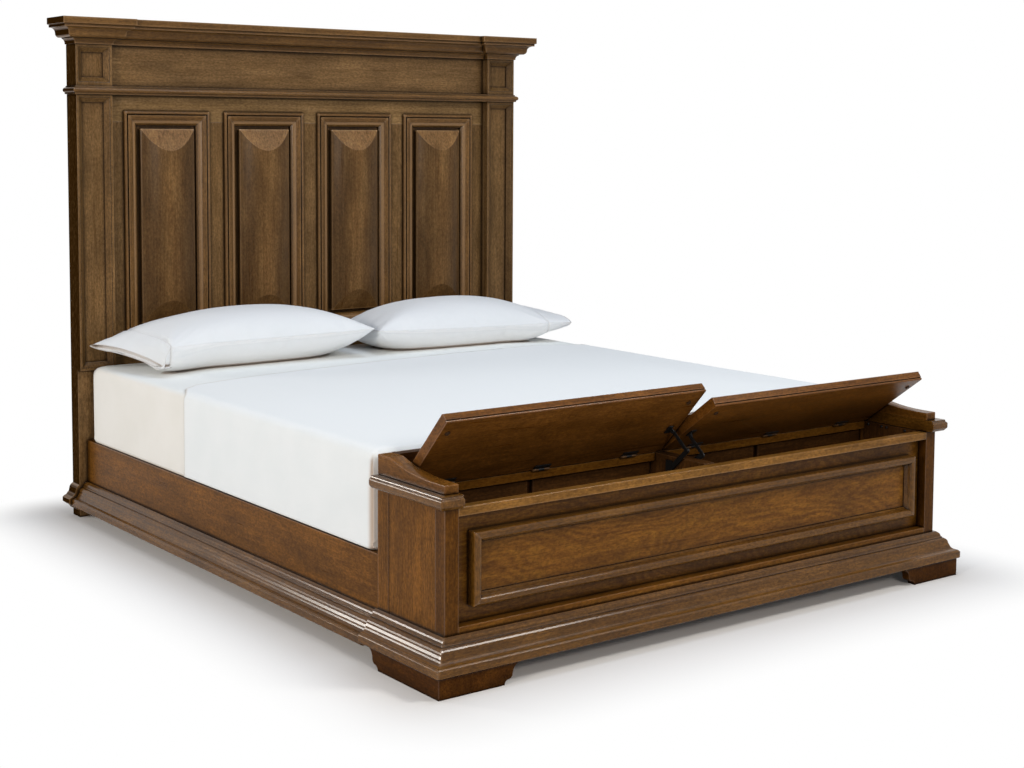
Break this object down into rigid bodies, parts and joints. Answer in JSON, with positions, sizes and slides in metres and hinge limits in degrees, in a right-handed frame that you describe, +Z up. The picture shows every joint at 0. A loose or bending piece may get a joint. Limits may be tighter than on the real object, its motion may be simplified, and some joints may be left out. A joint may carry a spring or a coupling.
{
  "type": "storage bed",
  "caption": "Panelled storage bed with a tall moulded headboard, a lidded storage chest as footboard, slatted base, mattress, sheet and pillows.",
  "frame": {"origin": "on the floor, under the middle of the bed's overall box", "axes": "+Z up, +Y from the foot of the bed to its head, +X to the right seen from the foot"},
  "size_m": [2.1994, 2.578, 1.9065],
  "materials": {
    "stained_wood": "semi-matt glazed brown stain",
    "inner_wood": "matt stained veneer",
    "slat_wood": "planed, unfinished",
    "black_steel": "satin black",
    "glide_plastic": "matt",
    "bumper_rubber": "matt",
    "fitted_sheet": "plain cotton",
    "cotton_sheet": "plain cotton",
    "pillow_cotton": "plain cotton"
  },
  "bodies": {
    "root": {"head_legs": "stained_wood", "pilasters": "stained_wood", "bead_rail": "stained_wood", "frieze_board": "stained_wood", "crown_ends": "stained_wood", "crown_centre": "stained_wood", "head_top_rail": "stained_wood", "head_bottom_rail": "stained_wood", "head_stiles": "stained_wood", "panel_mouldings": "stained_wood", "raised_panels": "stained_wood", "head_back_panel": "inner_wood", "head_cross_rail": "stained_wood", "head_base_mouldings": "stained_wood", "side_rail_left": "stained_wood", "side_rail_right": "stained_wood", "rail_moulding_left": "stained_wood", "rail_moulding_right": "stained_wood", "slat_ledgers": "slat_wood", "slats": "slat_wood", "centre_beam": "slat_wood", "centre_legs": "slat_wood", "leg_glides": "glide_plastic", "rail_brackets": "black_steel", "bolts": "black_steel", "corner_posts": "stained_wood", "rear_stiles": "stained_wood", "end_panels": "stained_wood", "front_top_rail": "stained_wood", "front_bottom_rail": "stained_wood", "front_panel": "stained_wood", "front_moulding": "stained_wood", "chest_back": "stained_wood", "hinge_rail": "stained_wood", "chest_floor": "inner_wood", "chest_divider": "inner_wood", "chest_liners": "inner_wood", "base_mouldings": "stained_wood", "chest_plinth": "stained_wood", "bracket_feet": "stained_wood", "rear_blocks": "inner_wood", "arm_caps": "stained_wood", "gallery_arms": "stained_wood", "hinge_leaves": "black_steel", "hinge_pins": "black_steel", "stay_brackets": "black_steel", "mattress": "fitted_sheet", "flat_sheet": "cotton_sheet", "pillow_left": "pillow_cotton", "pillow_right": "pillow_cotton"},
    "lid_left": {"lid_left": "stained_wood", "lid_fittings_left": "black_steel", "bumpers_left": "bumper_rubber"},
    "lid_right": {"lid_right": "stained_wood", "lid_fittings_right": "black_steel", "bumpers_right": "bumper_rubber"},
    "stay_arm_left": {"stay_arm_left": "black_steel"},
    "stay_arm_right": {"stay_arm_right": "black_steel"},
    "stay_link_left": {"stay_link_left": "black_steel"},
    "stay_link_right": {"stay_link_right": "black_steel"}
  },
  "joints": [
    {"name": "lid_left_hinge", "type": "hinge", "parent": "root", "child": "lid_left", "pos_m": [-0.476, -0.961, 0.492], "axis": [-1, 0, 0], "range_deg": [-46.9, 28.1]},
    {"name": "lid_right_hinge", "type": "hinge", "parent": "root", "child": "lid_right", "pos_m": [0.476, -0.961, 0.492], "axis": [-1, 0, 0], "range_deg": [-35.8, 39.2]},
    {"name": "stay_arm_left_pivot", "type": "hinge", "parent": "root", "child": "stay_arm_left", "pos_m": [-0.025, -1.021, 0.442], "axis": [-1, 0, 0], "range_deg": [-46.9, 28.1]},
    {"name": "stay_arm_right_pivot", "type": "hinge", "parent": "root", "child": "stay_arm_right", "pos_m": [0.025, -1.021, 0.442], "axis": [-1, 0, 0], "range_deg": [-35.8, 39.2]},
    {"name": "stay_link_left_pivot", "type": "hinge", "parent": "lid_left", "child": "stay_link_left", "pos_m": [-0.0285, -1.04756, 0.56987], "axis": [-1, 0, 0], "range_deg": [-28.1, 46.9]},
    {"name": "stay_link_right_pivot", "type": "hinge", "parent": "lid_right", "child": "stay_link_right", "pos_m": [0.0285, -1.06093, 0.55175], "axis": [-1, 0, 0], "range_deg": [-39.2, 35.8]}
  ],
  "couplings": [
    {"joint": "stay_arm_left_pivot", "follows": "lid_left_hinge", "ratio": 1},
    {"joint": "stay_link_left_pivot", "follows": "lid_left_hinge", "ratio": -1},
    {"joint": "stay_arm_right_pivot", "follows": "lid_right_hinge", "ratio": 1},
    {"joint": "stay_link_right_pivot", "follows": "lid_right_hinge", "ratio": -1}
  ]
}
